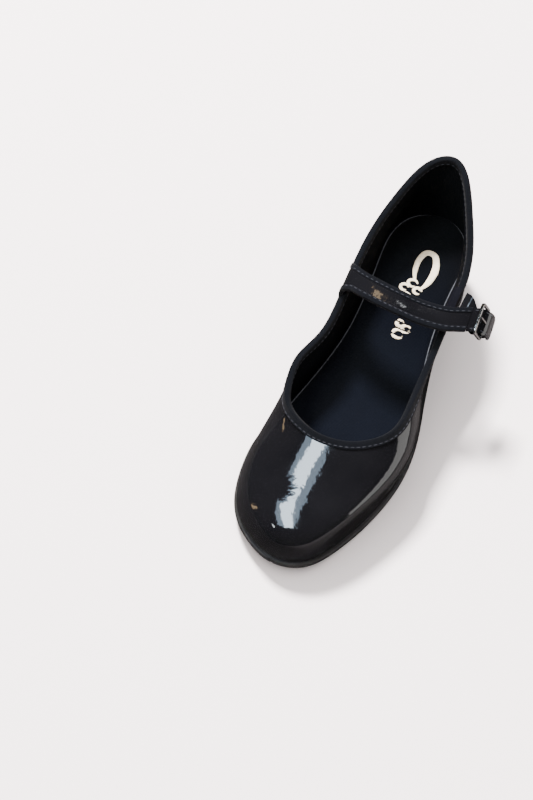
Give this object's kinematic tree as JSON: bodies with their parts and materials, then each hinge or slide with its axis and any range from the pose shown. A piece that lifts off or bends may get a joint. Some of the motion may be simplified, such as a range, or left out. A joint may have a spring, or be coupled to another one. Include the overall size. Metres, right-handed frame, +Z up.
{
  "type": "tap shoe",
  "caption": "Child's left Mary-Jane tap shoe in black patent, with a buckled instep strap, bound topline, low heel and metal taps at toe and heel.",
  "frame": {"origin": "centre of the shoe's box, on the floor that the taps stand on", "axes": "+Z up; the toe points to -Y and the heel to +Y; +X is the outer side of a left foot"},
  "size_m": [0.0932, 0.2128, 0.0786],
  "materials": {
    "patent": "black patent coating, mirror gloss",
    "lining": "matt woven lining, near black",
    "stiffener": "resin-stiffened non-woven",
    "binding": "ribbed tape, very dark navy",
    "sock": "dark navy textile over foam",
    "board": "pressed fibre board",
    "cork": "cork and latex filler",
    "sole": "black sole leather, buffed",
    "toplift": "matt black rubber",
    "steel": "zinc plated",
    "tap": "satin, fine scuffs",
    "buckle": "polished nickel plate",
    "elastic": "ribbed elastic webbing"
  },
  "bodies": {
    "shoe": {"upper_shell": "patent", "back_stay": "patent", "strap_anchor": "patent", "upper_lining": "lining", "toe_puff": "stiffener", "heel_counter": "stiffener", "interlining_lateral": "stiffener", "interlining_medial": "stiffener", "topline_binding": "binding", "sock_lining": "sock", "insole_board": "board", "toe_tap_board": "board", "bottom_filler": "cork", "outsole": "sole", "heel_block": "sole", "heel_top_piece": "toplift", "shank": "steel", "toe_tap_plate": "tap", "heel_tap_plate": "tap", "elastic_gore": "elastic", "toe_tap_screw_1": "steel", "heel_tap_screw_1": "steel", "toe_tap_screw_2": "steel", "heel_tap_screw_2": "steel", "toe_tap_screw_3": "steel", "heel_tap_screw_3": "steel", "heel_nail_1": "steel", "heel_nail_2": "steel", "heel_nail_3": "steel", "heel_nail_4": "steel", "shank_rivet_1": "steel", "shank_rivet_2": "steel"},
    "strap": {"strap_patent": "patent", "strap_backing": "lining", "strap_binding_front": "binding", "strap_binding_rear": "binding", "strap_end": "patent"},
    "buckle_tab": {"buckle_chape": "patent"},
    "frame": {"buckle_frame": "buckle"},
    "prong": {"buckle_prong": "buckle"}
  },
  "joints": [
    {"name": "strap_swing", "type": "hinge", "parent": "shoe", "child": "strap", "pos_m": [-0.03352, 0.02849, 0.0576], "axis": [0, -0.9672, -0.2541], "range_deg": [0, 130], "deforming": ["strap_end"]},
    {"name": "chape_flop", "type": "hinge", "parent": "shoe", "child": "buckle_tab", "pos_m": [0.02438, 0.03639, 0.0593], "axis": [0.0504, 0.958, 0.2824], "range_deg": [0, 60]},
    {"name": "frame_tilt", "type": "hinge", "parent": "buckle_tab", "child": "frame", "pos_m": [0.03898, 0.03129, 0.0564], "axis": [-0.08, 0.9505, 0.3002], "range_deg": [0, 60]},
    {"name": "prong_lift", "type": "hinge", "parent": "frame", "child": "prong", "pos_m": [0.03898, 0.03129, 0.0564], "axis": [-0.08, 0.9505, 0.3002], "range_deg": [0, 45]}
  ],
  "couplings": [
    {"joint": "chape_flop", "follows": "strap_swing", "ratio": 0.4},
    {"joint": "frame_tilt", "follows": "strap_swing", "ratio": 0.4},
    {"joint": "prong_lift", "follows": "strap_swing", "ratio": 0.3}
  ]
}
